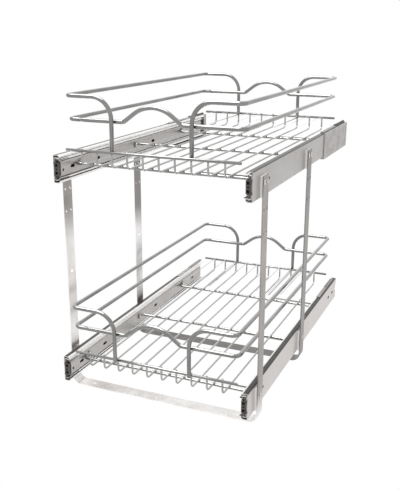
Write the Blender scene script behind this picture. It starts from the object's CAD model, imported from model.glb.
"""A two-tier pull-out cabinet basket: bright bent wires, ball slides, straps and moulded fittings.

The solids that are loaded stay as they are. Places and overall sizes come from their boxes, and the pieces
here are modelled over them at the same size: smooth bent wires with their welds, eased sheet-metal members,
screws with driver recesses, and moulded bumpers, guides and housings. All lengths are in metres.
"""

import logging
import math
from dataclasses import dataclass, field
from enum import Enum
from typing import Callable, Iterable

import bmesh
import bpy
from mathutils import Euler, Matrix, Vector


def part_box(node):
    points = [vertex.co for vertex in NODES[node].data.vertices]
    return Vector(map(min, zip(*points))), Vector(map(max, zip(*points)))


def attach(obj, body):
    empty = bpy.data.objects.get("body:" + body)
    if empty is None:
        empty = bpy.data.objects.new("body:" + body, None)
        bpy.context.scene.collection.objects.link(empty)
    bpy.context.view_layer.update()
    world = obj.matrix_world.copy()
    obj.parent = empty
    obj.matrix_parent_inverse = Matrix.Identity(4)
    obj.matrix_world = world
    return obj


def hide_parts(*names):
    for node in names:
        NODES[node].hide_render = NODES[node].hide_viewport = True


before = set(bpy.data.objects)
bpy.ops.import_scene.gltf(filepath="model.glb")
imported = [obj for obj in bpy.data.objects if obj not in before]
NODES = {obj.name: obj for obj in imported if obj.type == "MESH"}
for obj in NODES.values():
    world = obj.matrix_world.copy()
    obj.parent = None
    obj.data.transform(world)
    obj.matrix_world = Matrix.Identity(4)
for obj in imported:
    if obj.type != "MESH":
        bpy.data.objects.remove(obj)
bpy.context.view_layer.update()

MM = 0.001
MERGE = 0.002 * MM
TOUCH = 0.01 * MM
Y_AXIS = Vector((0, 1, 0))
Z_AXIS = Vector((0, 0, 1))
QUARTER = math.pi / 2
LOG = logging.getLogger("cabinet_basket")

Piece = bpy.types.Object
Node = bpy.types.Node
Socket = bpy.types.NodeSocket
Test = Callable[[Vector], bool]
Span = tuple[float, float]
Triple = tuple[float, float, float]
Colour = tuple[float, float, float, float]


class Tier(Enum):
    """The two baskets, named as the frame names them."""

    UPPER = "upper"
    LOWER = "lower"


class Side(Enum):
    """The two sides, as the sign of X."""

    LEFT = -1
    RIGHT = 1

    @property
    def word(self) -> str:
        """The side's name in the frame's node names."""
        return self.name.lower()


# ---- Modelling bench ---------------------------------------------------------------------------------


class Bench:
    """The modelling steps that every piece shares, each done with Blender's own operators."""

    @staticmethod
    def clear_selection() -> None:
        """Deselects everything, because an operator acts on all that is selected."""
        for picked in list(bpy.context.selected_objects):
            picked.select_set(False)

    @staticmethod
    def take(piece: Piece) -> None:
        """Makes one piece the only selected and the active one.

        Args:
            piece: The piece.
        """
        Bench.clear_selection()
        piece.select_set(True)
        bpy.context.view_layer.objects.active = piece

    @staticmethod
    def link(name: str, data: bpy.types.ID) -> Piece:
        """Puts a new object into the scene.

        Args:
            name: Name of the object.
            data: Its mesh, lamp or camera.

        Returns:
            The object, at the origin.
        """
        made = bpy.data.objects.new(name, data)
        bpy.context.scene.collection.objects.link(made)
        return made

    @staticmethod
    def start(name: str, primitive: Callable[..., object], **settings: object) -> Piece:
        """Starts a piece from a primitive.

        Args:
            name: Name of the new piece.
            primitive: The operator that adds the primitive.
            **settings: The primitive's own sizes and place.

        Returns:
            The piece, with its place and turn in its mesh and its object at the origin.
        """
        Bench.clear_selection()
        primitive(**settings)
        piece = bpy.context.object
        piece.name = name
        Bench.take(piece)
        bpy.ops.object.transform_apply(location=True, rotation=True, scale=True)
        return piece

    @staticmethod
    def block(name: str, low: Vector | Triple, high: Vector | Triple) -> Piece:
        """A cuboid between two corners.

        Args:
            name: Name of the new piece.
            low: Lowest corner.
            high: Highest corner.

        Returns:
            The cuboid.
        """
        low, high = Vector(low), Vector(high)
        return Bench.start(name, bpy.ops.mesh.primitive_cube_add, size=1, location=(low + high) / 2,
                           scale=high - low)

    @staticmethod
    def rod(name: str, start: Vector | Triple, end: Vector | Triple, radius: float, sides: int = 32) -> Piece:
        """A round bar between two points.

        Args:
            name: Name of the new piece.
            start: Centre of its first face.
            end: Centre of its second face.
            radius: Radius of the bar.
            sides: Number of flats round it.

        Returns:
            The bar.
        """
        start, end = Vector(start), Vector(end)
        way = end - start
        return Bench.start(name, bpy.ops.mesh.primitive_cylinder_add, vertices=sides, radius=radius,
                           depth=way.length, location=(start + end) / 2,
                           rotation=way.to_track_quat("Z", "Y").to_euler())

    @staticmethod
    def edit(piece: Piece) -> None:
        """Opens a piece in edit mode, all deselected.

        Args:
            piece: The piece.
        """
        Bench.take(piece)
        bpy.ops.object.mode_set(mode="EDIT")
        bpy.ops.mesh.select_mode(type="FACE")
        bpy.ops.mesh.select_all(action="DESELECT")

    @staticmethod
    def leave() -> None:
        """Closes edit mode."""
        bpy.ops.object.mode_set(mode="OBJECT")

    @staticmethod
    def pick_faces(piece: Piece, facing: Vector, place: Test | None = None) -> None:
        """Selects the faces that look one way, in edit mode.

        Args:
            piece: The piece in edit mode.
            facing: The way that the faces look.
            place: Test of a face's centre, or None for every place.
        """
        aligned = 0.99
        for face in bmesh.from_edit_mesh(piece.data).faces:
            looks = face.normal.dot(facing) > aligned
            face.select_set(looks and (place is None or place(face.calc_center_median())))
        bmesh.update_edit_mesh(piece.data)

    @staticmethod
    def score(heights: Iterable[float]) -> None:
        """Cuts new edges level round the piece in edit mode.

        Args:
            heights: The edges' heights.
        """
        for height in heights:
            bpy.ops.mesh.select_all(action="SELECT")
            bpy.ops.mesh.bisect(plane_co=(0, 0, height), plane_no=(0, 0, 1))

    @staticmethod
    def modify(piece: Piece, kind: str, **settings: object) -> None:
        """Adds a modifier, sets it and applies it.

        Args:
            piece: The piece that it shapes.
            kind: The modifier's type.
            **settings: The modifier's own settings.
        """
        Bench.take(piece)
        modifier = piece.modifiers.new(kind.title(), kind)
        for key, value in settings.items():
            setattr(modifier, key, value)
        bpy.ops.object.modifier_apply(modifier=modifier.name)

    @staticmethod
    def ease(piece: Piece, width: float, segments: int = 2) -> None:
        """Rounds every edge that isn't nearly flat.

        Args:
            piece: The piece that is eased.
            width: Width of the rounding.
            segments: Number of faces across the rounding.
        """
        sharp = math.radians(40)
        Bench.modify(piece, "BEVEL", width=width, segments=segments, limit_method="ANGLE", angle_limit=sharp,
                     use_clamp_overlap=True, harden_normals=False)

    @staticmethod
    def cut(piece: Piece, tool: Piece) -> None:
        """Cuts a tool's shape out of a piece and removes the tool."""
        Bench.modify(piece, "BOOLEAN", operation="DIFFERENCE", object=tool, solver="EXACT")
        bpy.data.objects.remove(tool)

    @staticmethod
    def fuse(name: str, parts: list[Piece]) -> Piece:
        """Fuses overlapping parts of one moulding into a single closed shape.

        Args:
            name: Name of the moulding.
            parts: Its parts, which are used up.

        Returns:
            The moulding.
        """
        whole = parts[0]
        for part in parts[1:]:
            Bench.modify(whole, "BOOLEAN", operation="UNION", object=part, solver="EXACT")
            bpy.data.objects.remove(part)
        whole.name = name
        return whole

    @staticmethod
    def close(piece: Piece, smooth: float = 50.0) -> None:
        """Merges doubles, turns the faces outwards and smooths what isn't a sharp edge.

        Args:
            piece: The finished shape.
            smooth: Angle in degrees up to which two faces shade as one.
        """
        Bench.edit(piece)
        bpy.ops.mesh.select_all(action="SELECT")
        bpy.ops.mesh.remove_doubles(threshold=MERGE)
        bpy.ops.mesh.normals_make_consistent(inside=False)
        Bench.leave()
        Bench.take(piece)
        bpy.ops.object.shade_smooth_by_angle(angle=math.radians(smooth))

    @staticmethod
    def close_flat(piece: Piece) -> None:
        """Closes a piece whose large flat faces are to shade flat beside its eased edges."""
        Bench.close(piece)
        Bench.modify(piece, "WEIGHTED_NORMAL", keep_sharp=True)

    @staticmethod
    def copy(piece: Piece, name: str, place: Matrix) -> Piece:
        """A copy with its own mesh, set at a place.

        Args:
            piece: The piece that is copied.
            name: Name of the copy.
            place: Transform from the piece to the copy.

        Returns:
            The copy.
        """
        twin = Bench.link(name, piece.data.copy())
        twin.data.transform(place)
        if place.determinant() < 0:
            twin.data.flip_normals()
        return twin

    @staticmethod
    def join(name: str, parts: list[Piece]) -> Piece:
        """Joins parts that belong to one piece.

        Args:
            name: Name of the piece.
            parts: Its parts, which are used up.

        Returns:
            The piece.
        """
        Bench.take(parts[0])
        for part in parts:
            part.select_set(True)
        if len(parts) > 1:
            bpy.ops.object.join()
        parts[0].name = name
        parts[0].data.name = name
        return parts[0]

    @staticmethod
    def repeat(name: str, model: Piece, places: Iterable[Matrix]) -> Piece:
        """Sets one modelled part at every place, as one piece.

        Args:
            name: Name of the piece.
            model: The part, which is used up.
            places: Transforms from the part to its copies.

        Returns:
            The copies, joined.
        """
        joined = Bench.join(name, [Bench.copy(model, f"{name}_{i}", place) for i, place in enumerate(places)])
        bpy.data.objects.remove(model)
        return joined


def node_corners(node: str) -> tuple[Vector, Vector]:
    """The lowest and the highest corner of a node of the frame."""
    low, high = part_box(node)
    return Vector(low), Vector(high)


def eased_twin(node: str, name: str, edge: float, segments: int = 2) -> Piece:
    """A copy of a node's mesh with merged faces, eased edges and even shading.

    Args:
        node: The frame's node.
        name: Name of the new piece.
        edge: Width of the easing.
        segments: Number of faces across the easing.

    Returns:
        The copy, closed and smooth.
    """
    flat = math.radians(0.5)
    twin = Bench.link(name, NODES[node].data.copy())
    Bench.edit(twin)
    bpy.ops.mesh.select_all(action="SELECT")
    bpy.ops.mesh.remove_doubles(threshold=MERGE)
    bpy.ops.mesh.dissolve_limited(angle_limit=flat)
    Bench.leave()
    Bench.ease(twin, edge, segments)
    Bench.close_flat(twin)
    return twin


def dress(piece: Piece, body: str, finish: "Finish", *nodes: str) -> None:
    """Gives a piece its finish, seats it on its body and says which nodes it stands for.

    Args:
        piece: The finished piece.
        body: The body that it rides on.
        finish: Its finish.
        *nodes: The frame's nodes that it replaces.
    """
    piece.data.materials.clear()
    piece.data.materials.append(finish.material())
    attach(piece, body)
    if nodes:
        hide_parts(*nodes)
    LOG.info("%s: %d faces on %s", piece.name, len(piece.data.polygons), body)


def dress_twin(node: str, word: str, body: str, finish: "Finish", edge: float, segments: int = 2) -> None:
    """Dresses an eased copy of a node in the node's place.

    Args:
        node: The frame's node.
        word: What is added to the node's name to name the copy.
        body: The body that it rides on.
        finish: Its finish.
        edge: Width of the easing.
        segments: Number of faces across the easing.
    """
    dress(eased_twin(node, f"{node}_{word}", edge, segments), body, finish, node)


# ---- Shader nodes ------------------------------------------------------------------------------------


class Surface(Enum):
    """The effects that finishes share, by the names of their node groups."""

    TONE_DRIFT = "tone_drift"
    ROLLED_GRAIN = "rolled_grain"
    EDGE_WEAR = "edge_wear"
    MOULDED_SKIN = "moulded_skin"


class NodeMaker:
    """Adds nodes to a tree. An input is given as a plain value or as the output that feeds it."""

    def __init__(self, tree: bpy.types.NodeTree) -> None:
        """Starts work on a tree."""
        self.tree = tree

    def fill(self, node: Node, sources: dict[str | int, object]) -> None:
        """Sets or links inputs of a node.

        Args:
            node: The node.
            sources: For each input, by name or number, its value or the output that feeds it.
        """
        for key, source in sources.items():
            if isinstance(source, Socket):
                self.tree.links.new(source, node.inputs[key])
            else:
                node.inputs[key].default_value = source

    def node(self, kind: str, sources: dict[str | int, object] | None = None, **settings: object) -> Node:
        """Adds a node.

        Args:
            kind: The node's type, without the word ShaderNode.
            sources: Its inputs, as fill takes them.
            **settings: Its properties.

        Returns:
            The node.
        """
        made = self.tree.nodes.new(f"ShaderNode{kind}")
        for key, value in settings.items():
            setattr(made, key, value)
        self.fill(made, sources or {})
        return made

    def effect(self, surface: Surface, **values: object) -> Node:
        """Places a shared effect with its own values.

        Args:
            surface: The effect.
            **values: Its inputs, with underscores for the spaces in their names.

        Returns:
            The group node.
        """
        if surface.value not in bpy.data.node_groups:
            EFFECTS[surface](surface.value)
        inputs = {key.replace("_", " "): value for key, value in values.items()}
        return self.node("Group", inputs, node_tree=bpy.data.node_groups[surface.value])

    def math(self, operation: str, *terms: object, clamp: bool = False) -> Socket:
        """Result of a sum.

        Args:
            operation: The kind of sum.
            *terms: Its numbers or the outputs that feed them.
            clamp: Whether the result is held between 0 and 1.

        Returns:
            The result.
        """
        return self.node("Math", dict(enumerate(terms)), operation=operation, use_clamp=clamp).outputs[0]

    def rise(self, value: Socket, source: tuple[object, object], result: Span = (0.0, 1.0),
             smooth: bool = True) -> Socket:
        """A value that goes from one end of a range to the other while its source does.

        Args:
            value: The source.
            source: Where the source starts and ends.
            result: Where the result starts and ends.
            smooth: Whether the result eases in and out.

        Returns:
            The result.
        """
        return self.node("MapRange", {
            "Value": value, "From Min": source[0], "From Max": source[1],
            "To Min": result[0], "To Max": result[1],
        }, interpolation_type="SMOOTHSTEP" if smooth else "LINEAR").outputs["Result"]

    def place(self) -> Socket:
        """The point on the surface, in the piece's own coordinates."""
        return self.node("TexCoord").outputs["Object"]

    def normal(self) -> Socket:
        """The way that the surface faces."""
        return self.node("NewGeometry").outputs["Normal"]

    def part(self, vector: Socket, axis: str) -> Socket:
        """One of a vector's parts: X, Y or Z."""
        return self.node("SeparateXYZ", {"Vector": vector}).outputs[axis]

    def length(self, vector: Socket) -> Socket:
        """Length of a vector."""
        return self.node("VectorMath", {0: vector}, operation="LENGTH").outputs["Value"]

    def noise(self, place: Socket, scale: object, detail: float, roughness: float = 0.5) -> Socket:
        """Cloudy noise.

        Args:
            place: Where it is read.
            scale: Its patches per metre.
            detail: How many finer layers it has.
            roughness: How much the finer layers show.

        Returns:
            The noise, from 0 to 1.
        """
        return self.node("TexNoise", {
            "Vector": place, "Scale": scale, "Detail": detail, "Roughness": roughness,
        }).outputs["Fac"]

    def blend(self, mask: Socket, under: object, over: object) -> Socket:
        """Lays a colour over another one.

        Args:
            mask: Where the colour on top shows.
            under: The colour below.
            over: The colour on top.

        Returns:
            The blended colour.
        """
        factor, colour_a, colour_b, colour_out = 0, 6, 7, 2
        mix = self.node("Mix", {factor: mask, colour_a: under, colour_b: over}, data_type="RGBA")
        return mix.outputs[colour_out]

    def relief(self, height: Socket, strength: float, depth: float) -> Socket:
        """Turns a height into a normal.

        Args:
            height: The height, from 0 to 1.
            strength: How much of it shows.
            depth: What a height of 1 stands for.

        Returns:
            The normal.
        """
        bump = self.node("Bump", {"Height": height, "Strength": strength, "Distance": depth})
        return bump.outputs["Normal"]


# ---- Shared surface effects --------------------------------------------------------------------------

NUMBER = "NodeSocketFloat"
VECTOR = "NodeSocketVector"
TONE = "NodeSocketColor"


class Effect(NodeMaker):
    """A node group under construction: an effect that several finishes share."""

    def __init__(self, name: str, inputs: dict[str, tuple[str, object]], outputs: dict[str, str]) -> None:
        """Starts a group.

        Args:
            name: Name of the group.
            inputs: For each input its socket type and default value.
            outputs: For each output its socket type.
        """
        super().__init__(bpy.data.node_groups.new(name, "ShaderNodeTree"))
        for label, (kind, value) in inputs.items():
            socket = self.tree.interface.new_socket(name=label, in_out="INPUT", socket_type=kind)
            socket.default_value = value
        for label, kind in outputs.items():
            self.tree.interface.new_socket(name=label, in_out="OUTPUT", socket_type=kind)
        self.given = self.tree.nodes.new("NodeGroupInput").outputs
        self.result = self.tree.nodes.new("NodeGroupOutput")


def build_tone_drift(name: str) -> None:
    """Soft, wide patches of a second tone, as bare metal shows where it was handled and plated.

    Args:
        name: Name of its node group.
    """
    effect = Effect(name, {
        "Color": (TONE, (0.5, 0.5, 0.5, 1)), "Second Color": (TONE, (0.5, 0.45, 0.4, 1)),
        "Amount": (NUMBER, 0.3), "Patch Size": (NUMBER, 0.05),
    }, {"Color": TONE, "Mask": NUMBER})
    faint, full = 0.38, 0.66
    per_metre = effect.math("DIVIDE", 1.0, effect.given["Patch Size"])
    clouds = effect.noise(effect.place(), per_metre, detail=3.0, roughness=0.45)
    patches = effect.rise(clouds, (faint, full))
    amount = effect.math("MULTIPLY", patches, effect.given["Amount"])
    drifted = effect.blend(amount, effect.given["Color"], effect.given["Second Color"])
    effect.fill(effect.result, {"Color": drifted, "Mask": patches})


def build_rolled_grain(name: str) -> None:
    """Fine lines along the rolling direction of sheet metal.

    Args:
        name: Name of its node group.
    """
    effect = Effect(name, {"Lines Per Metre": (VECTOR, (2500, 12, 2500)), "Contrast": (NUMBER, 0.5)},
                    {"Height": NUMBER, "Mask": NUMBER})
    middle = 0.5
    stretch = effect.node("VectorMath", {0: effect.place(), 1: effect.given["Lines Per Metre"]},
                          operation="MULTIPLY")
    lines = effect.noise(stretch.outputs["Vector"], 1.0, detail=4.0, roughness=0.6)
    spread = effect.math("MULTIPLY", effect.math("SUBTRACT", lines, middle), effect.given["Contrast"])
    effect.fill(effect.result, {"Height": lines, "Mask": effect.math("ADD", spread, middle, clamp=True)})


def build_edge_wear(name: str) -> None:
    """A mask of the outer edges, broken up by noise, where a finish rubs bright.

    Args:
        name: Name of its node group.
    """
    effect = Effect(name, {"Reach": (NUMBER, 0.06), "Break Up": (NUMBER, 400.0)}, {"Mask": NUMBER})
    past_flat = 0.51
    bare, worn = 0.3, 0.6
    sharpness = effect.node("NewGeometry").outputs["Pointiness"]
    edge = effect.rise(sharpness, (past_flat, effect.math("ADD", effect.given["Reach"], past_flat)))
    clouds = effect.noise(effect.place(), effect.given["Break Up"], detail=2.0)
    patches = effect.rise(clouds, (bare, worn))
    effect.fill(effect.result, {"Mask": effect.math("MULTIPLY", edge, patches, clamp=True)})


def build_moulded_skin(name: str) -> None:
    """The fine spark-eroded skin of a moulded part.

    Args:
        name: Name of its node group.
    """
    effect = Effect(name, {"Grain Size": (NUMBER, 0.0006)}, {"Height": NUMBER})
    place = effect.place()
    per_metre = effect.math("DIVIDE", 1.0, effect.given["Grain Size"])
    cells = effect.node("TexVoronoi", {"Vector": place, "Scale": per_metre}, feature="SMOOTH_F1")
    fine = effect.noise(place, per_metre, detail=3.0)
    effect.fill(effect.result, {"Height": effect.math("ADD", cells.outputs["Distance"], fine)})


EFFECTS = {
    Surface.TONE_DRIFT: build_tone_drift, Surface.ROLLED_GRAIN: build_rolled_grain,
    Surface.EDGE_WEAR: build_edge_wear, Surface.MOULDED_SKIN: build_moulded_skin,
}


# ---- Finishes ----------------------------------------------------------------------------------------


@dataclass(frozen=True)
class Finish:
    """What every finish has: its name, its material slot and a way to build its material once."""

    name: str
    slot: str

    def material(self) -> bpy.types.Material:
        """Finds the finish's material, and builds it the first time.

        Returns:
            The material.
        """
        made = bpy.data.materials.get(self.name)
        if made is None:
            made = bpy.data.materials.new(self.name)
            made.use_nodes = True
            self.build(NodeMaker(made.node_tree), made.node_tree.nodes["Principled BSDF"])
        return made

    def build(self, nodes: NodeMaker, shader: Node) -> None:
        """Builds the finish's nodes in front of the material's shader."""
        raise NotImplementedError


@dataclass(frozen=True)
class BrightPlate(Finish):
    """Bright plating over drawn wire or a turned head: a near mirror with faint drawing lines.

    The plating mirrors more strongly where it is seen at a slant, which gives a round wire its light outline,
    and it is lighter on top and underneath, where a wire in a pale room faces the ceiling and the floor.
    """

    colour: Colour = (0.26, 0.26, 0.255, 1)
    second: Colour = (0.2, 0.198, 0.195, 1)
    drift: float = 0.7
    patch_size: float = 0.035
    slant: Colour = (0.97, 0.97, 0.97, 1)
    slant_rise: Span = (0.78, 0.98)
    level_rise: Span = (0.55, 0.98)
    level_light: float = 0.32
    grain: Triple = (900, 900, 900)
    grain_contrast: float = 1.4
    gloss: Span = (0.06, 0.14)
    ripple: float = 0.05
    ripple_depth: float = 0.3 * MM

    def build(self, nodes: NodeMaker, shader: Node) -> None:
        """Builds the plating's tone, gloss and ripple.

        Args:
            nodes: Maker of the material's nodes.
            shader: The material's shader.
        """
        drift = nodes.effect(Surface.TONE_DRIFT, Color=self.colour, Second_Color=self.second,
                             Amount=self.drift, Patch_Size=self.patch_size)
        facing = nodes.node("LayerWeight", {"Blend": 0.5})
        slanted = nodes.rise(facing.outputs["Facing"], self.slant_rise)
        steep = nodes.math("ABSOLUTE", nodes.part(nodes.normal(), "Z"))
        lighter = nodes.math("MAXIMUM", slanted, nodes.rise(steep, self.level_rise, (0.0, self.level_light)))
        grain = nodes.effect(Surface.ROLLED_GRAIN, Lines_Per_Metre=self.grain, Contrast=self.grain_contrast)
        nodes.fill(shader, {
            "Metallic": 1.0,
            "Base Color": nodes.blend(lighter, drift.outputs["Color"], self.slant),
            "Roughness": nodes.rise(grain.outputs["Mask"], (0.0, 1.0), self.gloss, smooth=False),
            "Normal": nodes.relief(grain.outputs["Height"], self.ripple, self.ripple_depth),
        })


@dataclass(frozen=True)
class ZincSheet(Finish):
    """Zinc-plated rolled steel: satin, with lines along the rolling, soft patches and brighter edges.

    A sheet may also have wide bright spots, where the plating's polish comes out lightest, each given as its
    centre and its reach along the axes. A rolled channel may have dark folds on top, outside a distance from
    the middle plane, and light lips inside it.
    """

    colour: Colour = (0.6, 0.585, 0.57, 1)
    second: Colour = (0.53, 0.505, 0.48, 1)
    drift: float = 0.6
    patch_size: float = 0.09
    edge: Colour = (0.78, 0.77, 0.76, 1)
    wear_reach: float = 0.16
    wear_break_up: float = 60.0
    metallic: float = 1.0
    lines: Triple = (2500, 9, 2500)
    line_contrast: float = 1.2
    gloss: Span = (0.26, 0.4)
    relief_height: float = 0.06
    relief_depth: float = 0.1 * MM
    bright: Colour = (1.0, 0.985, 0.97, 1)
    bright_spots: tuple[tuple[Triple, Triple], ...] = ()
    spot_core: float = 0.45
    fold_x: float | None = None
    fold_blur: float = 0.3 * MM
    fold_rise: Span = (0.1, 0.4)
    fold: Colour = (0.07, 0.068, 0.066, 1)
    lip: Colour = (0.93, 0.915, 0.9, 1)

    def build(self, nodes: NodeMaker, shader: Node) -> None:
        """Builds the sheet's patches, rolling lines and edges.

        Args:
            nodes: Maker of the material's nodes.
            shader: The material's shader.
        """
        drift = nodes.effect(Surface.TONE_DRIFT, Color=self.brightened(nodes), Second_Color=self.second,
                             Amount=self.drift, Patch_Size=self.patch_size)
        wear = nodes.effect(Surface.EDGE_WEAR, Reach=self.wear_reach, Break_Up=self.wear_break_up)
        tone = nodes.blend(wear.outputs["Mask"], drift.outputs["Color"], self.edge)
        if self.fold_x is not None:
            tone = self.folded(nodes, tone)
        grain = nodes.effect(Surface.ROLLED_GRAIN, Lines_Per_Metre=self.lines, Contrast=self.line_contrast)
        nodes.fill(shader, {
            "Metallic": self.metallic,
            "Base Color": tone,
            "Roughness": nodes.rise(grain.outputs["Mask"], (0.0, 1.0), self.gloss, smooth=False),
            "Normal": nodes.relief(grain.outputs["Height"], self.relief_height, self.relief_depth),
        })

    def brightened(self, nodes: NodeMaker) -> Socket | Colour:
        """The sheet's own colour with its bright spots laid over it.

        Args:
            nodes: Maker of the material's nodes.

        Returns:
            The plain colour, or the output that carries the spots.
        """
        tone = self.colour
        for centre, reach in self.bright_spots:
            centred = nodes.node("Mapping", {
                "Vector": nodes.place(), "Location": [-c / r for c, r in zip(centre, reach)],
                "Scale": [1 / r for r in reach],
            })
            spot = nodes.rise(nodes.length(centred.outputs["Vector"]), (self.spot_core, 1.0), (1.0, 0.0))
            tone = nodes.blend(spot, tone, self.bright)
        return tone

    def folded(self, nodes: NodeMaker, tone: Socket) -> Socket:
        """Lays the light lips and the dark top folds over a tone.

        Args:
            nodes: Maker of the material's nodes.
            tone: The sheet's tone.

        Returns:
            The tone with its lips and folds.
        """
        outward = nodes.math("ABSOLUTE", nodes.part(nodes.place(), "X"))
        bounds = (self.fold_x - self.fold_blur, self.fold_x + self.fold_blur)
        outside = nodes.rise(outward, bounds, smooth=False)
        upward = nodes.rise(nodes.part(nodes.normal(), "Z"), self.fold_rise, smooth=False)
        lipped = nodes.blend(nodes.math("SUBTRACT", 1.0, outside), tone, self.lip)
        return nodes.blend(nodes.math("MULTIPLY", outside, upward), lipped, self.fold)


@dataclass(frozen=True)
class Moulding(Finish):
    """Moulded plastic: an even skin with a fine grain and edges rubbed a little lighter."""

    colour: Colour = (0.04, 0.038, 0.036, 1)
    second: Colour = (0.055, 0.052, 0.05, 1)
    drift: float = 0.8
    patch_size: float = 0.02
    edge: Colour = (0.12, 0.115, 0.11, 1)
    wear_reach: float = 0.14
    wear_break_up: float = 200.0
    gloss: Span = (0.38, 0.55)
    grain: float = 0.6 * MM
    grain_height: float = 0.25
    grain_depth: float = 0.05 * MM

    def build(self, nodes: NodeMaker, shader: Node) -> None:
        """Builds the moulding's tone, edges and skin.

        Args:
            nodes: Maker of the material's nodes.
            shader: The material's shader.
        """
        drift = nodes.effect(Surface.TONE_DRIFT, Color=self.colour, Second_Color=self.second,
                             Amount=self.drift, Patch_Size=self.patch_size)
        wear = nodes.effect(Surface.EDGE_WEAR, Reach=self.wear_reach, Break_Up=self.wear_break_up)
        skin = nodes.effect(Surface.MOULDED_SKIN, Grain_Size=self.grain)
        nodes.fill(shader, {
            "Base Color": nodes.blend(wear.outputs["Mask"], drift.outputs["Color"], self.edge),
            "Roughness": nodes.rise(drift.outputs["Mask"], (0.0, 1.0), self.gloss, smooth=False),
            "Normal": nodes.relief(skin.outputs["Height"], self.grain_height, self.grain_depth),
        })


def reach_across(node: str) -> float:
    """Greatest distance of a node from the middle plane."""
    return max(abs(corner.x) for corner in node_corners(node))


CHANNEL_FOLD_W = 8 * MM
FOLD_X = reach_across("upper_left_outer_channel") - CHANNEL_FOLD_W
MIDDLE_WEB_W = 2 * MM
MIDDLE_WEB_X = reach_across("upper_left_middle_member") - MIDDLE_WEB_W
ALONG_Z = (2500, 2500, 9)
WIRE_PLATE = BrightPlate("chrome_plated_wire", "chrome_wire")
FLOOR_WIRE_PLATE = BrightPlate("chrome_plated_floor_wire", "chrome_wire", colour=(0.42, 0.42, 0.415, 1),
                               second=(0.36, 0.355, 0.35, 1), gloss=(0.1, 0.2))
SCREW_PLATE = BrightPlate("bright_screw_plate", "screw_steel", colour=(0.7, 0.68, 0.66, 1),
                          second=(0.6, 0.58, 0.56, 1), gloss=(0.2, 0.32))
BALL_STEEL = BrightPlate("polished_ball_steel", "ball_steel", colour=(0.8, 0.8, 0.8, 1),
                         second=(0.72, 0.72, 0.72, 1), gloss=(0.08, 0.16), ripple=0.02)
FRONT_STRAP_ZINC = ZincSheet("zinc_plated_front_strap", "strap_steel", colour=(0.29, 0.275, 0.263, 1),
                             second=(0.6, 0.53, 0.49, 1), lines=ALONG_Z, patch_size=0.035, drift=0.25,
                             wear_reach=1.5,
                             bright_spots=(((-0.155, -0.24, 0.165), (0.06, 0.5, 0.15)),
                                           ((-0.15, -0.24, 0.0), (0.1, 0.5, 0.07)),
                                           ((0.04, -0.24, 0.0), (0.2, 0.5, 0.07))))
REAR_STRAP_ZINC = ZincSheet("zinc_plated_rear_strap", "strap_steel", colour=(0.26, 0.247, 0.237, 1),
                            second=(0.22, 0.21, 0.2, 1), lines=ALONG_Z, patch_size=0.12, wear_reach=1.5,
                            bright_spots=(((-0.155, -0.01, 0.16), (0.06, 0.3, 0.1)),))
SPACER_ZINC = ZincSheet("zinc_plated_spacer", "spacer_steel", colour=(0.93, 0.91, 0.9, 1),
                        second=(0.88, 0.86, 0.84, 1), lines=ALONG_Z, gloss=(0.3, 0.42), metallic=0.2)
UPPER_CHANNEL_ZINC = ZincSheet("zinc_plated_upper_channel", "slide_steel", colour=(0.455, 0.436, 0.422, 1),
                               second=(0.415, 0.396, 0.382, 1), gloss=(0.26, 0.36), metallic=0.75,
                               fold_x=FOLD_X)
LOWER_CHANNEL_ZINC = ZincSheet("zinc_plated_lower_channel", "slide_steel", colour=(0.59, 0.555, 0.54, 1),
                               second=(0.54, 0.505, 0.49, 1), gloss=(0.26, 0.36), metallic=0.75,
                               fold_x=FOLD_X)
MIDDLE_ZINC = ZincSheet("zinc_plated_middle_member", "slide_steel", colour=(0.58, 0.56, 0.545, 1),
                        second=(0.52, 0.5, 0.485, 1), gloss=(0.24, 0.36), metallic=0.6, fold_x=MIDDLE_WEB_X,
                        fold=(0.58, 0.56, 0.545, 1))
INNER_ZINC = ZincSheet("zinc_plated_inner_member", "inner_slide_steel", colour=(0.48, 0.46, 0.445, 1),
                       second=(0.42, 0.4, 0.385, 1), metallic=0.6)
HOUSING_GREY = Moulding("grey_moulding", "housing_plastic", colour=(0.42, 0.4, 0.385, 1),
                        second=(0.37, 0.35, 0.34, 1), edge=(0.58, 0.56, 0.55, 1), gloss=(0.3, 0.45),
                        wear_reach=0.9)
BLACK_MOULDING = Moulding("black_moulding", "black_plastic")
GUIDE_MOULDING = Moulding("grey_guide_moulding", "black_plastic", colour=(0.2, 0.19, 0.185, 1),
                          second=(0.25, 0.24, 0.23, 1), edge=(0.36, 0.35, 0.34, 1))


# ---- Bent wire ---------------------------------------------------------------------------------------


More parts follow.
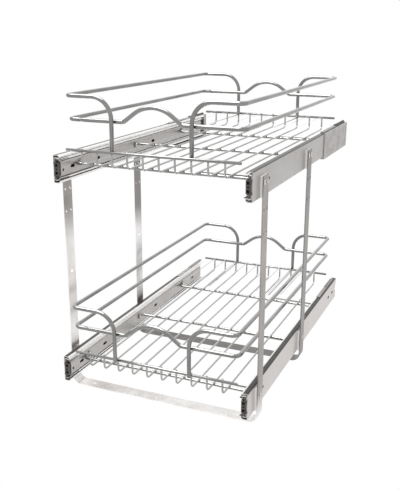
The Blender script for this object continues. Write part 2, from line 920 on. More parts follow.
@dataclass(frozen=True)
class WireBender:
    """Bends round wire as a shop does: it feeds a straight length, bends it round a pin and feeds on."""

    diameter: float
    sides: int = 24
    bend_step: float = 4.0
    chamfer: float = 0.3

    @staticmethod
    def turn(route: list[Vector], i: int) -> float:
        """Angle that the wire turns through at corner i."""
        return (route[i] - route[i - 1]).angle(route[i + 1] - route[i])

    def taken(self, route: list[Vector], radii: list[float], i: int) -> float:
        """Length that the bend at corner i takes from each straight beside it: none at the wire's ends."""
        inside = 0 < i < len(route) - 1
        return radii[i] * math.tan(self.turn(route, i) / 2) if inside else 0.0

    def bend(self, name: str, route: list[Vector], radii: list[float], joined: bool = False) -> Piece:
        """One wire along a route of corners, each rounded to its own radius.

        Args:
            name: Name of the wire.
            route: The corners of its middle line, ends included.
            radii: The bend radius at each corner, 0 at the ends.
            joined: Whether the two ends meet and are welded into a loop.

        Returns:
            The wire, closed and smooth.
        """
        first = (route[1] - route[0]).normalized()
        wire = Bench.start(name, bpy.ops.mesh.primitive_circle_add, vertices=self.sides,
                           radius=self.diameter / 2, location=route[0],
                           rotation=first.to_track_quat("Z", "Y").to_euler())
        Bench.edit(wire)
        bpy.ops.mesh.select_mode(type="EDGE")
        bpy.ops.mesh.select_all(action="SELECT")
        for i in range(len(route) - 1):
            straight = route[i + 1] - route[i]
            length = straight.length - self.taken(route, radii, i) - self.taken(route, radii, i + 1)
            self.feed(straight.normalized() * length)
            if i + 2 < len(route):
                self.bend_round_pin(route, radii[i + 1], i + 1)
        if not joined:
            self.finish_end(wire, route[-1], (route[-1] - route[-2]).normalized())
            self.finish_end(wire, route[0], -first)
        Bench.leave()
        Bench.close(wire)
        return wire

    @staticmethod
    def feed(way: Vector) -> None:
        """Feeds a straight length of wire from the selected end."""
        bpy.ops.mesh.extrude_region_move(TRANSFORM_OT_translate={"value": tuple(way)})

    def bend_round_pin(self, route: list[Vector], radius: float, i: int) -> None:
        """Bends the selected end round a pin that lies inside a corner.

        Args:
            route: The corners of the wire's middle line.
            radius: Distance of the pin's centre from the middle line.
            i: The corner's number.
        """
        arriving = (route[i] - route[i - 1]).normalized()
        leaving = (route[i + 1] - route[i]).normalized()
        angle = arriving.angle(leaving)
        inward = (leaving - arriving * math.cos(angle)).normalized()
        pin = route[i] - arriving * radius * math.tan(angle / 2) + inward * radius
        fewest = 3
        steps = max(fewest, round(math.degrees(angle) / self.bend_step))
        bpy.ops.mesh.spin(steps=steps, angle=angle, center=tuple(pin),
                          axis=tuple(leaving.cross(arriving).normalized()))

    def finish_end(self, wire: Piece, centre: Vector, outward: Vector) -> None:
        """Breaks the edge of a cut end and closes it with a face.

        Args:
            wire: The wire in edit mode.
            centre: Centre of the open end.
            outward: The way that the end looks.
        """
        mesh = bmesh.from_edit_mesh(wire.data)
        slack = 1.02
        near = self.diameter / 2 * slack
        for edge in mesh.edges:
            edge.select_set(False)
        for edge in mesh.edges:
            if edge.is_boundary and all((v.co - centre).length < near for v in edge.verts):
                edge.select_set(True)
        bmesh.update_edit_mesh(wire.data)
        step = self.diameter / 2 * self.chamfer
        # The chamfer is drawn inside the wire's own length
        bpy.ops.transform.translate(value=tuple(-outward * step))
        self.feed(outward * step)
        bpy.ops.transform.resize(value=(1 - self.chamfer,) * 3, center_override=tuple(centre))
        bpy.ops.mesh.edge_face_add()


# ---- Screws ------------------------------------------------------------------------------------------


@dataclass(frozen=True)
class Screw:
    """A round-headed screw with a cross recess, modelled along +Z with its head's underside at the origin."""

    head_radius: float
    head_height: float
    shank_radius: float
    shank_length: float
    recess_width: float = 0.8 * MM
    recess_reach: float = 1.7 * MM
    recess_depth: float = 0.9 * MM
    thread_pitch: float = 0.7 * MM
    thread_root: float = 0.86
    thread_runout: float = 0.1 * MM
    head_rings: Span = (0.3, 0.25)
    head_edge: float = 0.12
    dome: float = 0.35
    dome_power: int = 3
    overlap: float = 0.05 * MM

    def model(self) -> Piece:
        """Models the screw once.

        Returns:
            The screw, with its head towards +Z.
        """
        head = Bench.rod("screw_head", Vector(), Z_AXIS * self.head_height, self.head_radius)
        Bench.edit(head)
        Bench.pick_faces(head, Z_AXIS)
        for ring in self.head_rings:
            bpy.ops.mesh.inset(thickness=self.head_radius * ring, depth=0)
        Bench.leave()
        self.crown(head)
        Bench.ease(head, self.head_height * self.head_edge)
        reach, half = self.recess_reach, self.recess_width / 2
        for turn in (0.0, QUARTER):
            arm = Bench.block("recess_arm", (-reach, -half, self.head_height - self.recess_depth),
                              (reach, half, self.head_height + MM))
            arm.data.transform(Matrix.Rotation(turn, 4, "Z"))
            Bench.cut(head, arm)
        shank = Bench.rod("screw_shank", Z_AXIS * -self.shank_length, Z_AXIS * self.overlap,
                          self.shank_radius)
        self.cut_thread(shank)
        screw = Bench.join("screw", [head, shank])
        Bench.close(screw)
        return screw

    def crown(self, head: Piece) -> None:
        """Lowers the head's rim, so that its top is domed inside its own height.

        Args:
            head: The screw's head.
        """
        for vertex in head.data.vertices:
            reach = vertex.co.xy.length / self.head_radius
            if vertex.co.z > self.head_height / 2:
                vertex.co.z -= self.head_height * self.dome * reach ** self.dome_power

    def cut_thread(self, shank: Piece) -> None:
        """Turns thread grooves into the shank, as rings half a pitch apart that step in and out.

        Args:
            shank: The screw's shank.
        """
        half_pitch = self.thread_pitch / 2
        rings = int((self.shank_length - self.thread_runout) / half_pitch)
        Bench.edit(shank)
        Bench.score(i * half_pitch - self.shank_length for i in range(1, rings + 1))
        Bench.leave()
        for vertex in shank.data.vertices:
            height = vertex.co.z + self.shank_length
            ring = round(height / half_pitch)
            if 0 < ring <= rings and ring % 2 == 1 and abs(height - ring * half_pitch) < TOUCH:
                vertex.co.x *= self.thread_root
                vertex.co.y *= self.thread_root


# ---- The two baskets ---------------------------------------------------------------------------------


@dataclass
class WireBasket:
    """One basket: ten floor wires, two rims, three guard rails, three cross wires and their fixings.

    Places in it are given from the middle of the front rim.
    """

    tier: Tier
    wire_pitch: float = 25.4 * MM
    floor_wire_count: int = 10
    floor_wire_d: float = 3 * MM
    rim_d: float = 4.5 * MM
    rail_d: float = 6.4 * MM
    floor_drop: float = 23.5 * MM
    floor_bend_r: float = 8 * MM
    wire_end_up: float = 2.5 * MM
    upper_rail_h: float = 79 * MM
    middle_rail_h: float = 44 * MM
    post_pitches: float = 2.5
    post_curve_r: float = 32 * MM
    corner_r: float = 10 * MM
    arch_r: float = 50 * MM
    arch_slope: float = 0.75
    arch_half_w: float = 50 * MM
    arch_foot_r: float = 10 * MM
    weld: float = 0.1 * MM
    bead_r: float = 1.15 * MM
    bead_shape: Triple = (1.15, 1.15, 0.42)
    tab_t: float = 2 * MM
    tab_h: float = 11 * MM
    tab_edge: float = 0.4 * MM
    tab_bend_r: float = 4.5 * MM
    tab_inset: float = 0.3 * MM
    tab_neck: float = 0.36
    tab_screw_d: float = 4.3 * MM
    screw: Screw = Screw(3.5 * MM, 1.8 * MM, 2 * MM, 3.2 * MM)
    origin: Vector = field(init=False)
    depth: float = field(init=False)
    rim_length: float = field(init=False)
    rail_x: float = field(init=False)
    post_y: float = field(init=False)

    def __post_init__(self) -> None:
        """Reads the basket's own places from the frame."""
        front_low, front_high = node_corners(self.node("front_rim"))
        rear_low, rear_high = node_corners(self.node("rear_rim"))
        rail_low, rail_high = node_corners(self.node("right_guard_rail"))
        self.origin = (front_low + front_high) / 2
        self.depth = ((rear_low + rear_high) / 2 - self.origin).y
        self.rim_length = front_high.x - front_low.x
        self.rail_x = rail_high.x - self.rail_d / 2
        self.post_y = rail_low.y + self.rail_d / 2 - self.origin.y

    def node(self, word: str) -> str:
        """Name of one of this basket's nodes."""
        return f"{self.tier.value}_{word}"

    @property
    def body(self) -> str:
        """The body that the whole basket rides on."""
        return self.node("basket")

    def at(self, x: float, y: float, z: float) -> Vector:
        """A point given from the middle of the front rim."""
        return self.origin + Vector((x, y, z))

    @property
    def rail_bender(self) -> WireBender:
        """Bender of the thick guard rails, which are rounder than the thin wires."""
        return WireBender(self.rail_d, sides=32)

    @property
    def upright_y(self) -> float:
        """Distance of the floor wires' uprights behind the front rim's axis."""
        return (self.rim_d + self.floor_wire_d) / 2 - self.weld

    @property
    def post_x(self) -> float:
        """Distance of the guard rails' posts from the middle plane."""
        return self.post_pitches * self.wire_pitch

    @property
    def post_foot(self) -> float:
        """Height of the posts' feet: level with the rims' underside."""
        return -self.rim_d / 2

    @property
    def cross_z(self) -> float:
        """Height of the cross wires' axes, under the floor wires."""
        return -self.floor_drop - (self.floor_wire_d + self.rim_d) / 2 + self.weld

    def wire_xs(self) -> list[float]:
        """Places of the floor wires across the basket."""
        return [(i - (self.floor_wire_count - 1) / 2) * self.wire_pitch for i in range(self.floor_wire_count)]

    def under_post(self, x: float) -> bool:
        """Whether a floor wire of the upper basket stops below a post."""
        reach = (self.floor_wire_d + self.rail_d) / 2
        return self.tier is Tier.UPPER and abs(abs(x) - self.post_x) < reach

    def build(self) -> None:
        """Models and dresses the whole basket."""
        self.build_floor_wires()
        self.build_rim("front_rim", 0.0)
        self.build_rim("rear_rim", self.depth)
        for side in Side:
            self.build_guard_rail(side)
        self.build_middle_rail()
        cross_ys = [self.build_cross_wire(word) for word in ("front", "centre", "rear")]
        self.build_screws()
        self.build_welds(cross_ys)

    def dress_wire(self, word: str, bender: WireBender, route: list[Triple], radii: list[float],
                   joined: bool = False) -> None:
        """Bends one wire of the basket and dresses it in its node's place.

        Args:
            word: The node's name in this basket.
            bender: What bends it.
            route: The corners of its middle line, ends included.
            radii: The bend radius at each corner, 0 at the ends.
            joined: Whether the two ends meet and are welded into a loop.
        """
        node = self.node(word)
        corners = [self.at(*corner) for corner in route]
        dress(bender.bend(f"{node}_plated", corners, radii, joined), self.body, WIRE_PLATE, node)

    def build_floor_wires(self) -> None:
        """Ten bent floor wires with their uprights."""
        bender = WireBender(self.floor_wire_d, sides=16, bend_step=6)
        front, rear, floor = self.upright_y, self.depth - self.upright_y, -self.floor_drop
        wires = []
        for top in (self.wire_end_up, self.post_foot):
            xs = [x for x in self.wire_xs() if (top == self.post_foot) == self.under_post(x)]
            if not xs:
                continue
            route = [(0, front, top), (0, front, floor), (0, rear, floor), (0, rear, top)]
            model = bender.bend("floor_wire", [self.at(*corner) for corner in route],
                                [0, self.floor_bend_r, self.floor_bend_r, 0])
            wires.append(Bench.repeat("floor_wires", model, [Matrix.Translation((x, 0, 0)) for x in xs]))
        node = self.node("floor_wires")
        dress(Bench.join(f"{node}_plated", wires), self.body, FLOOR_WIRE_PLATE, node)

    def build_rim(self, word: str, y: float) -> None:
        """One straight rim wire."""
        half = self.rim_length / 2
        self.dress_wire(word, WireBender(self.rim_d), [(-half, y, 0), (half, y, 0)], [0, 0])

    def build_guard_rail(self, side: Side) -> None:
        """Post, curve and side run of one guard rail, and the same again at the back.

        Args:
            side: The side that it is on.
        """
        px, rx = side.value * self.post_x, side.value * self.rail_x
        front, rear = self.post_y, self.depth - self.post_y
        foot, top = self.post_foot, self.upper_rail_h
        self.dress_wire(f"{side.word}_guard_rail", self.rail_bender, [
            (px, front, foot), (px, front, top), (rx, front, top),
            (rx, rear, top), (px, rear, top), (px, rear, foot),
        ], [0, self.post_curve_r, self.corner_r, self.corner_r, self.post_curve_r, 0])

    def build_middle_rail(self) -> None:
        """The closed loop inside the posts, with a hand arch at the front and the back."""
        front = self.post_y + self.rail_d - self.weld
        rear, middle = self.depth - front, self.depth / 2
        z, rx = self.middle_rail_h, self.rail_x
        foot = self.arch_half_w - self.arch_foot_r * math.tan(math.atan(self.arch_slope) / 2)
        top = z + foot * self.arch_slope
        half_loop = [self.corner_r, self.arch_foot_r, self.arch_r, self.arch_foot_r, self.corner_r]
        self.dress_wire("middle_guard_rail", self.rail_bender, [
            (-rx, middle, z),
            (-rx, front, z), (-foot, front, z), (0, front, top), (foot, front, z), (rx, front, z),
            (rx, rear, z), (foot, rear, z), (0, rear, top), (-foot, rear, z), (-rx, rear, z),
            (-rx, middle, z),
        ], [0, *half_loop, *half_loop, 0], joined=True)

    def cross_places(self, word: str) -> Triple:
        """Where a cross wire lies, read from its node's box.

        The box ends at the wire's own round on one side and at the tabs' round ends on the other. The centre
        wire's tabs point to the front, the others' to the back.

        Args:
            word: Which of the three cross wires.

        Returns:
            The place of its straight length and of its screws along the basket, and that of its right tab's
            outer face across it.
        """
        low, high = (corner - self.origin for corner in node_corners(self.node(f"{word}_cross_wire")))
        if word == "centre":
            return high.y - self.rim_d / 2, low.y + self.tab_h / 2, high.x
        return low.y + self.rim_d / 2, high.y - self.tab_h / 2, high.x

    def build_cross_wire(self, word: str) -> float:
        """One cross wire with its ends turned along the slides and pressed flat into screw tabs.

        Args:
            word: Which of the three cross wires.

        Returns:
            The wire's distance behind the front rim.
        """
        node = self.node(f"{word}_cross_wire")
        y, screw_y, face_x = self.cross_places(word)
        wire_x = face_x - self.rim_d / 2 - self.tab_inset
        neck = screw_y - math.copysign(self.tab_h * self.tab_neck, screw_y - y)
        wire = WireBender(self.rim_d).bend("cross_wire", [
            self.at(-wire_x, neck, self.cross_z), self.at(-wire_x, y, self.cross_z),
            self.at(wire_x, y, self.cross_z), self.at(wire_x, neck, self.cross_z),
        ], [0, self.tab_bend_r, self.tab_bend_r, 0])
        tabs = [self.model_tab(side, face_x, screw_y) for side in Side]
        dress(Bench.join(f"{node}_plated", [wire, *tabs]), self.body, WIRE_PLATE, node)
        return y

    def model_tab(self, side: Side, face_x: float, screw_y: float) -> Piece:
        """One flattened screw tab with its hole and softened edges.

        Args:
            side: The side that it is on.
            face_x: Distance of its outer face from the middle plane.
            screw_y: Distance of its screw behind the front rim.

        Returns:
            The tab.
        """
        def rod(name: str, start: float, end: float, radius: float, sides: int) -> Piece:
            """A bar along the screw's line between two distances from the middle plane."""
            ends = [self.at(side.value * x, screw_y, self.cross_z) for x in (start, end)]
            return Bench.rod(name, *ends, radius, sides)

        inner_x = face_x - self.tab_t
        tab = rod("screw_tab", inner_x, face_x, self.tab_h / 2, sides=40)
        Bench.ease(tab, self.tab_edge)
        Bench.cut(tab, rod("tab_drill", inner_x - MM, face_x + MM, self.tab_screw_d / 2, sides=32))
        Bench.close(tab)
        return tab

    def build_screws(self) -> None:
        """The screws that hold the tabs to the slides' basket-side members."""
        node = self.node("basket_screws")
        places = []
        for word in ("front", "centre", "rear"):
            _, screw_y, face_x = self.cross_places(word)
            for side in Side:
                seat = self.at(side.value * (face_x - self.tab_t), screw_y, self.cross_z)
                places.append(Matrix.Translation(seat) @ Matrix.Rotation(-side.value * QUARTER, 4, "Y"))
        screws = Bench.repeat(f"{node}_cross_recess", self.screw.model(), places)
        dress(screws, self.body, SCREW_PLATE, node)

    def build_welds(self, cross_ys: list[float]) -> None:
        """Small pressed weld beads where the wires cross.

        Args:
            cross_ys: The cross wires' distances behind the front rim.
        """
        under = -self.floor_drop - self.floor_wire_d / 2
        upright = Matrix.Rotation(QUARTER, 4, "X")
        places = []
        for x in self.wire_xs():
            places += [Matrix.Translation(self.at(x, y, under)) for y in cross_ys]
            if not self.under_post(x):
                places += [Matrix.Translation(self.at(x, y, 0)) @ upright
                           for y in (self.rim_d / 2, self.depth - self.rim_d / 2)]
        dress(Bench.repeat(self.node("weld_beads"), self.model_bead(), places), self.body, WIRE_PLATE)

    def model_bead(self) -> Piece:
        """One weld bead: a flat pillow that fills the crevice between two crossed wires.

        Returns:
            The bead, lying level at the origin.
        """
        bead = Bench.start("weld_bead", bpy.ops.mesh.primitive_uv_sphere_add, segments=12, ring_count=6,
                           radius=self.bead_r, scale=self.bead_shape)
        Bench.close(bead, smooth=80)
        return bead


# ---- Slides ------------------------------------------------------------------------------------------


@dataclass(frozen=True)
class FrontBumper:
    """A moulded bumper in a slide's own place: a waisted face, a pocketed block, and two necked fingers."""

    face_t: float = 1.6 * MM
    face_u: Span = (1 * MM, 8.8 * MM)
    face_half_h: float = 10.4 * MM
    face_bands: int = 9
    waist: float = 1.4 * MM
    block_u: Span = (2.8 * MM, 10 * MM)
    block_half_h: float = 9.5 * MM
    block_l: float = 14 * MM
    lead_in: float = 0.86
    wall: float = 1.5 * MM
    window_gap: float = 0.3 * MM
    pocket_depth: float = 4.8 * MM
    pocket_draft: float = 0.2 * MM
    boss_half_h: float = 2.3 * MM
    boss_hole_r: float = 1.3 * MM
    neck_u: Span = (3.2 * MM, 5.4 * MM)
    arm_h: Span = (14.1 * MM, 15.4 * MM)
    finger_u: Span = (11.3 * MM, 12.1 * MM)
    finger_l: float = 24 * MM
    finger_taper: float = 0.55
    edge: float = 0.22 * MM

    def model(self) -> Piece:
        """Models the whole moulding once.

        Returns:
            The bumper, with its face towards -Y.
        """
        parts = [self.model_block(), self.model_face(), *self.model_arm(1), *self.model_arm(-1)]
        bumper = Bench.fuse("front_bumper", parts)
        Bench.ease(bumper, self.edge)
        return bumper

    def model_block(self) -> Piece:
        """The block inside the basket-side member, with two pockets and a drilled boss between them.

        Returns:
            The block.
        """
        near, far = self.block_u
        middle = (near + far) / 2
        block = Bench.block("bumper_block", (near, -self.face_t, -self.block_half_h),
                            (far, self.block_l, self.block_half_h))
        Bench.edit(block)
        Bench.score((-self.boss_half_h, self.boss_half_h))
        Bench.pick_faces(block, -Y_AXIS, lambda place: abs(place.z) > self.boss_half_h)
        bpy.ops.mesh.inset(thickness=self.wall, use_individual=True)
        bpy.ops.mesh.inset(thickness=self.pocket_draft, depth=-self.pocket_depth, use_individual=True)
        bpy.ops.mesh.select_all(action="DESELECT")
        Bench.pick_faces(block, Y_AXIS)
        bpy.ops.transform.resize(value=(self.lead_in, 1, self.lead_in),
                                 center_override=(middle, self.block_l, 0))
        Bench.leave()
        Bench.cut(block, Bench.rod("boss_drill", (middle, -self.face_t - MM, 0), (middle, self.face_t, 0),
                                   self.boss_hole_r, sides=24))
        return block

    def model_face(self) -> Piece:
        """The face over the member's end: a frame round the block whose outer edge draws in to a waist.

        Returns:
            The face.
        """
        face = Bench.block("bumper_face", (self.face_u[0], -self.face_t, -self.face_half_h),
                           (self.face_u[1], 0, self.face_half_h))
        Bench.edit(face)
        Bench.score(self.face_half_h * (2 * i / self.face_bands - 1) for i in range(1, self.face_bands))
        Bench.leave()
        for vertex in face.data.vertices:
            if abs(vertex.co.x - self.face_u[0]) < TOUCH:
                vertex.co.x += self.waist * (1 - (vertex.co.z / self.face_half_h) ** 2)
        near, half = self.block_u[0] + self.window_gap, self.block_half_h - self.window_gap
        Bench.cut(face, Bench.block("face_window", (near, -self.face_t - MM, -half),
                                    (self.face_u[1] + MM, MM, half)))
        return face

    def model_arm(self, way: int) -> list[Piece]:
        """A neck, the arm beyond it and the finger that lies along the member's curl.

        Args:
            way: 1 above the slide's middle, -1 below it.

        Returns:
            The overlapping parts of the arm.
        """
        def part(name: str, u: Span, y: Span, h: Span) -> Piece:
            """A block between two distances each across, along and away from the slide's middle."""
            low, high = sorted((way * h[0], way * h[1]))
            return Bench.block(name, (u[0], y[0], low), (u[1], y[1], high))

        neck = part("neck", self.neck_u, (-self.face_t, 0), (self.block_half_h - MM, self.arm_h[1]))
        arm = part("arm", (self.neck_u[0], self.finger_u[1]), (-self.face_t, 0), self.arm_h)
        finger = part("finger", self.finger_u, (-self.face_t, self.finger_l), self.arm_h)
        Bench.edit(finger)
        Bench.pick_faces(finger, Y_AXIS)
        bpy.ops.transform.resize(value=(self.finger_taper, 1, self.finger_taper),
                                 center_override=(self.finger_u[0], self.finger_l, way * self.arm_h[0]))
        Bench.leave()
        return [neck, arm, finger]


@dataclass
class BallSlide:
    """One full-extension slide: fixed channel, intermediate and basket-side members, cages and bumper."""

    tier: Tier
    side: Side
    edge: float = 0.2 * MM
    strip_edge: float = 0.05 * MM
    ball_r: float = 1.6 * MM

    @property
    def name(self) -> str:
        """The start of this slide's node names."""
        return f"{self.tier.value}_{self.side.word}"

    @property
    def seat(self) -> Matrix:
        """The slide's own place.

        Returns:
            A transform whose X runs from the fixed channel's back to the basket, Y to the back and Z up.
        """
        low, high = node_corners(f"{self.name}_outer_channel")
        back = low.x if self.side is Side.LEFT else high.x
        corner = Matrix.Translation((back, low.y, (low.z + high.z) / 2))
        return corner @ Matrix.Diagonal((-self.side.value, 1, 1, 1))

    def build(self) -> None:
        """Models and dresses the whole slide."""
        middle = f"{self.name}_middle"
        for word, body, finish in (
            ("outer_channel", "frame", UPPER_CHANNEL_ZINC if self.tier is Tier.UPPER else LOWER_CHANNEL_ZINC),
            ("middle_member", middle, MIDDLE_ZINC),
            ("inner_member", f"{self.tier.value}_basket", INNER_ZINC),
        ):
            dress_twin(f"{self.name}_{word}", "rolled", body, finish, self.edge)
        for word in ("outer", "inner"):
            self.build_cage(word)
        node = f"{self.name}_front_bumper"
        bumper = Bench.repeat(f"{node}_moulded", FrontBumper().model(), [self.seat])
        Bench.close_flat(bumper)
        dress(bumper, middle, BLACK_MOULDING, node)

    def build_cage(self, word: str) -> None:
        """A ball cage: the frame's strips, with balls turned fine enough to look round.

        Args:
            word: Which of the two cages, outer or inner.
        """
        node = f"{self.name}_{word}_ball_cage"
        strips = eased_twin(node, f"{node}_strips", self.strip_edge)
        centres = self.take_out_balls(strips)
        ball = Bench.start("ball", bpy.ops.mesh.primitive_uv_sphere_add, segments=20, ring_count=12,
                           radius=self.ball_r)
        Bench.close(ball, smooth=80)
        balls = Bench.repeat(f"{node}_balls", ball, [Matrix.Translation(centre) for centre in centres])
        cage = Bench.join(f"{node}_polished", [strips, balls])
        dress(cage, f"{self.name}_{word}_balls", BALL_STEEL, node)

    def take_out_balls(self, strips: Piece) -> list[Vector]:
        """Removes the coarse balls from a copy of a cage.

        Args:
            strips: The copy, whose balls are loose parts.

        Returns:
            The balls' centres.
        """
        longest = 2.2 * self.ball_r
        mesh = bmesh.new()
        mesh.from_mesh(strips.data)
        seen: set[int] = set()
        centres = []
        loose = []
        for start in mesh.verts:
            if start.index in seen:
                continue
            part, queue = [], [start]
            seen.add(start.index)
            while queue:
                vertex = queue.pop()
                part.append(vertex)
                for edge in vertex.link_edges:
                    other = edge.other_vert(vertex)
                    if other.index not in seen:
                        seen.add(other.index)
                        queue.append(other)
            low = Vector(map(min, *(v.co for v in part)))
            high = Vector(map(max, *(v.co for v in part)))
            if max(high - low) < longest:
                centres.append((low + high) / 2)
                loose.extend(part)
        bmesh.ops.delete(mesh, geom=loose, context="VERTS")
        mesh.to_mesh(strips.data)
        mesh.free()
        return centres


# ---- Soft close, guides and straps -------------------------------------------------------------------


@dataclass(frozen=True)
class SoftClose:
    """The moulded unit round the rear of an upper slide, and the damper along its top."""

    side: Side
    housing_edge: float = 0.4 * MM
    panel_sink: float = 0.5 * MM
    panel_rise: float = 1 * MM
    bar_sink: float = 0.3 * MM
    bar_height: float = 0.35 * MM
    bar_ends: Span = (17 * MM, 15 * MM)
    bar_edge: float = 0.25 * MM
    rib_half_w: float = 0.6 * MM
    bead_away: Span = (10.2 * MM, 11 * MM)
    guide_start: float = 33 * MM
    guide_l: float = 94 * MM
    guide_h: float = 2.4 * MM
    guide_w: float = 7 * MM
    rib_pitch: float = 12.5 * MM
    rib_t: float = 1.2 * MM
    rib_inset: float = 0.4 * MM
    rib: float = 0.5 * MM
    bed_h: float = 0.8
    cap_l: float = 4 * MM
    groove: float = 0.3 * MM
    edge: float = 0.2 * MM

    def build(self) -> None:
        """Models and dresses the housing and the damper."""
        housing = f"upper_{self.side.word}_soft_close_housing"
        dress(self.model_housing(housing), "frame", HOUSING_GREY, housing)
        damper = f"upper_{self.side.word}_soft_close_damper"
        dress(self.model_guide(damper), "frame", GUIDE_MOULDING)
        dress(self.model_barrel(damper), "frame", BLACK_MOULDING, damper)

    def model_housing(self, node: str) -> Piece:
        """The housing with a long rib across its recessed panel and a bead above and below the rib.

        Args:
            node: The housing's node in the frame.

        Returns:
            The housing.
        """
        housing = eased_twin(node, f"{node}_moulded", self.housing_edge, segments=3)
        low, high = node_corners(node)
        panel = reach_across(node) - self.panel_sink
        x0, x1 = sorted(self.side.value * x for x in (panel - self.bar_sink, panel + self.bar_height))
        y0, y1 = low.y + self.bar_ends[0], high.y - self.bar_ends[1]
        middle = (low.z + high.z) / 2 + self.panel_rise
        near, far = self.bead_away
        parts = [housing]
        for foot, top in ((-self.rib_half_w, self.rib_half_w), (-far, -near), (near, far)):
            bar = Bench.block("panel_bar", (x0, y0, middle + foot), (x1, y1, middle + top))
            Bench.ease(bar, self.bar_edge)
            parts.append(bar)
        whole = Bench.join(f"{node}_moulded", parts)
        Bench.close_flat(whole)
        return whole

    def model_guide(self, node: str) -> Piece:
        """The low ribbed guide in front of the damper's barrel.

        Args:
            node: The damper's node in the frame.

        Returns:
            The guide.
        """
        low, high = node_corners(node)
        x = (low.x + high.x) / 2
        start, half = low.y + self.guide_start, self.guide_w / 2
        parts = [Bench.block("guide_strip", (x - half, start, low.z),
                             (x + half, start + self.guide_l, low.z + self.guide_h - self.rib))]
        half -= self.rib_inset
        for i in range(1, int(self.guide_l / self.rib_pitch)):
            y = start + i * self.rib_pitch
            parts.append(Bench.block("guide_rib", (x - half, y, low.z + MM),
                                     (x + half, y + self.rib_t, low.z + self.guide_h)))
        return self.finished(f"{node}_guide", parts)

    def model_barrel(self, node: str) -> Piece:
        """The damper itself: a bed that carries the round barrel with its two end caps.

        Args:
            node: The damper's node in the frame.

        Returns:
            The barrel on its bed.
        """
        low, high = node_corners(node)
        x, start = (low.x + high.x) / 2, low.y + self.guide_start + self.guide_l
        radius = (high.z - low.z) / 2
        z = low.z + radius
        parts = [
            Bench.block("barrel_bed", (low.x, start, low.z), (high.x, high.y, low.z + radius * self.bed_h)),
            Bench.rod("barrel", (x, start + self.cap_l / 2, z), (x, high.y - self.cap_l / 2, z),
                      radius - self.groove),
        ]
        for y in (start, high.y - self.cap_l):
            parts.append(Bench.rod("barrel_cap", (x, y, z), (x, y + self.cap_l, z), radius))
        return self.finished(f"{node}_moulded", parts)

    def finished(self, name: str, parts: list[Piece]) -> Piece:
        """Fuses the parts of one moulding, eases its edges and shades it.

        Args:
            name: Name of the moulding.
            parts: Its parts, which are used up.

        Returns:
            The moulding.
        """
        piece = Bench.fuse(name, parts)
        Bench.ease(piece, self.edge)
        Bench.close_flat(piece)
        return piece


@dataclass(frozen=True)
class RearGuide:
    """The dark guide along the top of a lower slide's rear end."""

    side: Side
    edge: float = 0.3 * MM

    def build(self) -> None:
        """Models and dresses the guide."""
        node = f"lower_{self.side.word}_rear_guide"
        dress_twin(node, "moulded", "frame", GUIDE_MOULDING, self.edge, segments=3)


@dataclass(frozen=True)
class StrapFrame:
    """The two U-shaped straps, their spacers and the screws that hold the slides."""

    edge: float = 0.3 * MM
    pair_half: float = 6.5 * MM
    screw: Screw = Screw(3.7 * MM, 1.2 * MM, 2 * MM, 6.3 * MM, recess_depth=0.8 * MM, recess_reach=1.9 * MM)

    def build(self) -> None:
        """Models and dresses the straps, the spacers and the screws."""
        dress_twin("front_strap", "plated", "frame", FRONT_STRAP_ZINC, self.edge, segments=3)
        dress_twin("rear_strap", "plated", "frame", REAR_STRAP_ZINC, self.edge, segments=3)
        dress_twin("slide_spacers", "plated", "frame", SPACER_ZINC, self.edge)
        self.build_screws()

    def build_screws(self) -> None:
        """The screws from the straps' outsides into the fixed channels: a pair above, one below."""
        node = "slide_mounting_screws"
        low, high = node_corners(node)
        seat_x = high.x - self.screw.head_height
        top, foot = high.z - self.screw.head_radius, low.z + self.screw.head_radius
        places = []
        for strap in ("front_strap", "rear_strap"):
            strap_low, strap_high = node_corners(strap)
            y = (strap_low.y + strap_high.y) / 2
            for side in Side:
                turn = Matrix.Rotation(side.value * QUARTER, 4, "Y")
                for screw_y, z in ((y - self.pair_half, top), (y + self.pair_half, top), (y, foot)):
                    places.append(Matrix.Translation((side.value * seat_x, screw_y, z)) @ turn)
        screws = Bench.repeat(f"{node}_cross_recess", self.screw.model(), places)
        dress(screws, "frame", SCREW_PLATE, node)


# ---- Studio ------------------------------------------------------------------------------------------


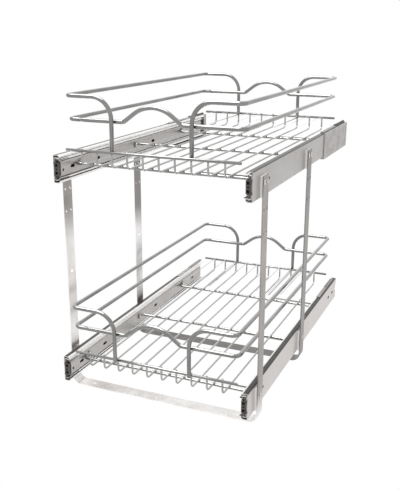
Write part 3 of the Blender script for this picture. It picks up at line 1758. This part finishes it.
@dataclass(frozen=True)
class Studio:
    """A white sweep under soft light, and the photograph's camera."""

    camera_place: Triple = (0.47035, -1.17849, 0.58258)
    azimuth: float = 23.30
    tilt_down: float = 16.29
    roll: float = 0.19
    lens: float = 53.36
    shift: Span = (-0.00219, -0.0189)
    floor_low: Triple = (-2.2, -0.95, 0.0)
    floor_high: Triple = (5.0, 6.0, 0.0)
    floor_sink: float = 0.2 * MM
    floor_tone: Colour = (0.9, 0.9, 0.9, 1)
    floor_roughness: float = 0.9
    near_white: float = 0.92
    fade: Span = (0.3, 0.9)
    lamp_place: Triple = (-0.6, -0.5, 2.2)
    lamp_size: float = 1.6
    lamp_watts: float = 55.0
    white: Colour = (1, 1, 1, 1)
    room_light: float = 0.85

    def build(self) -> None:
        """Sets up the floor, the lamp, the world and the camera."""
        self.build_floor()
        self.build_lamp()
        self.build_world()
        self.build_camera()
        bpy.context.scene.view_settings.view_transform = "Standard"

    def build_floor(self) -> None:
        """A pale floor that keeps the object's shadow and shows white to the camera and in reflections."""
        low, high = Vector(self.floor_low), Vector(self.floor_high)
        floor = Bench.start("studio_floor", bpy.ops.mesh.primitive_plane_add, size=1,
                            location=(low + high) / 2 - Z_AXIS * self.floor_sink, scale=high - low + Z_AXIS)
        made = bpy.data.materials.new("pale_floor")
        made.use_nodes = True
        nodes = NodeMaker(made.node_tree)
        shader = nodes.tree.nodes["Principled BSDF"]
        nodes.fill(shader, {"Base Color": self.floor_tone, "Roughness": self.floor_roughness,
                            "Specular IOR Level": 0.0})
        white_share = nodes.rise(nodes.length(nodes.place()), self.fade, (self.near_white, 1.0))
        glow = nodes.node("Emission")
        mix = nodes.node("MixShader", {"Fac": nodes.math("MULTIPLY", self.seen_directly(nodes), white_share),
                                       1: shader.outputs["BSDF"], 2: glow.outputs["Emission"]})
        nodes.fill(nodes.tree.nodes["Material Output"], {"Surface": mix.outputs["Shader"]})
        floor.data.materials.append(made)

    @staticmethod
    def seen_directly(nodes: NodeMaker) -> Socket:
        """Tells what is looked at, straight or in a mirror or glass, from what only carries light.

        Args:
            nodes: Maker of the tree's nodes.

        Returns:
            A mask that is 1 for the rays that look and 0 for those that carry light.
        """
        rays = nodes.node("LightPath").outputs
        either = nodes.math("MAXIMUM", rays["Is Camera Ray"], rays["Is Glossy Ray"])
        return nodes.math("MAXIMUM", either, rays["Is Transmission Ray"])

    def build_lamp(self) -> None:
        """One large soft lamp overhead that looks at the origin."""
        light = bpy.data.lights.new("overhead_softbox", "AREA")
        light.shape = "SQUARE"
        light.size = self.lamp_size
        light.energy = self.lamp_watts
        lamp = Bench.link("overhead_softbox", light)
        lamp.location = self.lamp_place
        lamp.rotation_euler = (-Vector(self.lamp_place)).to_track_quat("-Z", "Y").to_euler()

    def build_world(self) -> None:
        """A pale room: plain white to the camera and in mirrors, a little less as light on the object."""
        world = bpy.data.worlds.new("studio_room")
        world.use_nodes = True
        bpy.context.scene.world = world
        nodes = NodeMaker(world.node_tree)
        backdrop = nodes.tree.nodes["Background"]
        nodes.fill(backdrop, {"Strength": 1.0, "Color": self.white})
        room = nodes.node("Background", {"Strength": self.room_light, "Color": self.white})
        mix = nodes.node("MixShader", {"Fac": self.seen_directly(nodes), 1: room.outputs["Background"],
                                       2: backdrop.outputs["Background"]})
        nodes.fill(nodes.tree.nodes["World Output"], {"Surface": mix.outputs["Shader"]})

    def build_camera(self) -> None:
        """The photograph's camera, solved from the object's own wires, slides and straps."""
        data = bpy.data.cameras.new("photo_camera")
        data.lens = self.lens
        data.shift_x, data.shift_y = self.shift
        camera = Bench.link("photo_camera", data)
        camera.location = self.camera_place
        tilt, azimuth, roll = map(math.radians, (self.tilt_down, self.azimuth, self.roll))
        turn = Euler((QUARTER - tilt, 0, azimuth), "XYZ").to_matrix()
        camera.rotation_euler = (turn @ Matrix.Rotation(roll, 3, "Z")).to_euler()
        bpy.context.scene.camera = camera


def main() -> None:
    """Builds the pieces in order, writes the sizes and leaves the scene ready."""
    logging.basicConfig(level=logging.INFO, format="%(name)s: %(message)s")
    for tier in Tier:
        WireBasket(tier).build()
        for side in Side:
            BallSlide(tier, side).build()
    for side in Side:
        SoftClose(side).build()
        RearGuide(side).build()
    StrapFrame().build()
    Studio().build()
    Bench.clear_selection()


if __name__ == "__main__":
    main()
